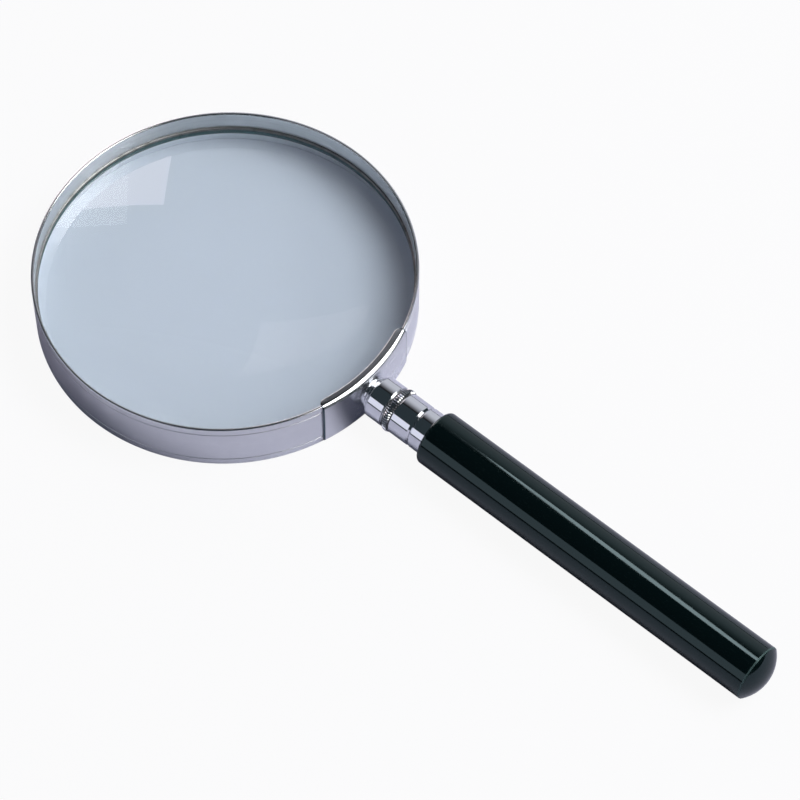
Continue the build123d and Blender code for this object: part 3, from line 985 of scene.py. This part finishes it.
def card(name, azimuth, elevation, distance, width, height, radiance, colour):
    """A bright card that faces the object and fades out towards its top."""
    mesh = bmesh.new()
    bmesh.ops.create_grid(mesh, x_segments=1, y_segments=1, size=0.5)
    bmesh.ops.scale(mesh, vec=(width, height, 1), verts=mesh.verts)
    made = as_object(name, mesh)
    aim(made, azimuth, elevation, distance)
    finish = Finish(name, Base_Color=(0, 0, 0, 1), Roughness=1.0, Emission_Strength=radiance)
    lit = 1 - finish.point.axis(1).between(-0.1 * height, 0.5 * height)
    finish.feed("Emission Color", lit.blend((0, 0, 0, 1), shade(colour, 1)))
    made.data.materials.append(finish.material)


def camera():
    """The camera on the handle's near side, above the rim."""
    roll = math.radians(CAMERA_ROLL)
    level = compass(CAMERA_AZIMUTH, 0)
    back = compass(CAMERA_AZIMUTH - 90, CAMERA_ELEVATION)
    upright = back.cross(level)
    right = level * math.cos(roll) + upright * math.sin(roll)
    up = upright * math.cos(roll) - level * math.sin(roll)
    data = bpy.data.cameras.new("camera")
    data.lens = CAMERA_LENS
    data.clip_start = 0.01
    made = bpy.data.objects.new("camera", data)
    made.matrix_world = Matrix((right, up, back)).transposed().to_4x4()
    made.matrix_world.translation = right * CAMERA_RIGHT + up * CAMERA_UP + back * CAMERA_BACK
    bpy.context.scene.collection.objects.link(made)
    bpy.context.scene.camera = made


def floor(colour):
    """A wide pale floor. Seen directly it is nearly white, and in the glass and chrome it is grey."""
    mesh = bmesh.new()
    bmesh.ops.create_circle(mesh, cap_ends=True, segments=96, radius=5.0)
    made = as_object("floor", mesh)
    made.location.z = FLOOR_HEIGHT - 0.02 * MM
    finish = Finish("floor_paper", Roughness=0.9)
    fibre = finish.point.noise(90.0, 4.0)
    finish.feed("Base Color", fibre.blend(shade(colour, 0.985), shade(colour, 1.015)))
    glow = finish.surface.node("ShaderNodeEmission", {}, {"Color": (1.0, 1.0, 1.0, 1)})
    seen = finish.surface.node("ShaderNodeLightPath", {}, {}, "Is Camera Ray")
    finish.show((seen * FLOOR_GLOW).fade(finish.surface, glow))
    made.data.materials.append(finish.material)


def surroundings():
    """A dim room that the camera itself sees as a pale backdrop."""
    world = bpy.data.worlds.new("room")
    world.use_nodes = True
    plain = world.node_tree.nodes["Background"]
    plain.inputs["Color"].default_value = (1.0, 1.0, 1.0, 1)
    backdrop = Signal(world.node_tree, plain.outputs[0])
    room = backdrop.node("ShaderNodeBackground", {}, {"Color": (0.026, 0.036, 0.042, 1)})
    seen = backdrop.node("ShaderNodeLightPath", {}, {}, "Is Camera Ray")
    mixed = seen.fade(room, backdrop)
    world.node_tree.links.new(mixed.socket, world.node_tree.nodes["World Output"].inputs["Surface"])
    bpy.context.scene.world = world


class HANDLENS_OT_stage(bpy.types.Operator):
    """Makes the floor, the lamps, the room and the camera"""

    bl_idname = "handlens.stage"
    bl_label = "Stage"

    def execute(self, context):
        studio = context.scene.hand_lens_studio
        floor(studio.floor)
        surroundings()
        camera()
        # Azimuth, elevation, distance, width, height, radiance, colour, then any shift and turn.
        lamp("key_lamp", 42, 55, 1.3, 0.8, 0.7, studio.key, (1.0, 0.99, 0.97))
        lamp("edge_lamp", 30, 40, 1.3, 0.6, 0.8, studio.edge, (1.0, 0.99, 0.98))
        lamp("lens_lamp", 125, 24, 1.3, 0.8, 0.8, studio.lens, (1.0, 0.84, 0.84), (0.70, 0.03), -7)
        lamp("low_strip", -110, 20, 1.3, 1.6, 0.68, 0.88, (0.88, 0.88, 1.0))
        highlight = lamp("handle_lamp", 114.5, 66.6, 1.275, 0.14, 0.6, 4.0, (1.0, 0.94, 1.0))
        highlight.data.shape = "ELLIPSE"
        highlight.light_linking.receiver_collection = highlight_group()
        card("grey_card", 112, 36, 1.6, 2.2, 2.1, 0.62, (0.9, 0.92, 1.0))
        context.scene.view_settings.view_transform = "Standard"
        return {"FINISHED"}


OPERATORS = (
    HANDLENS_OT_stage,
    HANDLENS_OT_glass,
    HANDLENS_OT_rim,
    HANDLENS_OT_saddle,
    HANDLENS_OT_wires,
    HANDLENS_OT_stud,
    HANDLENS_OT_neck,
    HANDLENS_OT_front_barrel,
    HANDLENS_OT_knurled_collar,
    HANDLENS_OT_ferrule,
    HANDLENS_OT_grip,
    HANDLENS_OT_end_plug,
    HANDLENS_OT_fittings,
)


class HANDLENS_PT_panel(bpy.types.Panel):
    """Lists the pieces and what can be changed about them"""

    bl_idname = "HANDLENS_PT_panel"
    bl_label = "Hand lens"
    bl_space_type = "VIEW_3D"
    bl_region_type = "UI"
    bl_category = "Hand lens"

    def draw(self, context):
        for group in ("hand_lens_details", "hand_lens_colours", "hand_lens_studio"):
            settings = getattr(context.scene, group)
            box = self.layout.box()
            for name in settings.__annotations__:
                box.prop(settings, name)
        for operator in OPERATORS:
            self.layout.operator(operator.bl_idname)


GROUPS = {
    "hand_lens_details": HandLensDetails,
    "hand_lens_colours": HandLensColours,
    "hand_lens_studio": HandLensStudio,
}
CLASSES = (*GROUPS.values(), *OPERATORS, HANDLENS_PT_panel)


def register():
    """Adds the classes, and their settings to the scene."""
    for made in CLASSES:
        bpy.utils.register_class(made)
    for name, group in GROUPS.items():
        setattr(bpy.types.Scene, name, PointerProperty(type=group))


def unregister():
    """Takes the settings and the classes away again."""
    for name in GROUPS:
        delattr(bpy.types.Scene, name)
    for made in reversed(CLASSES):
        bpy.utils.unregister_class(made)


def main():
    """Makes the stage and every piece in order."""
    register()
    for operator in OPERATORS:
        getattr(bpy.ops.handlens, operator.bl_idname.split(".")[1])()


if __name__ == "__main__":
    main()
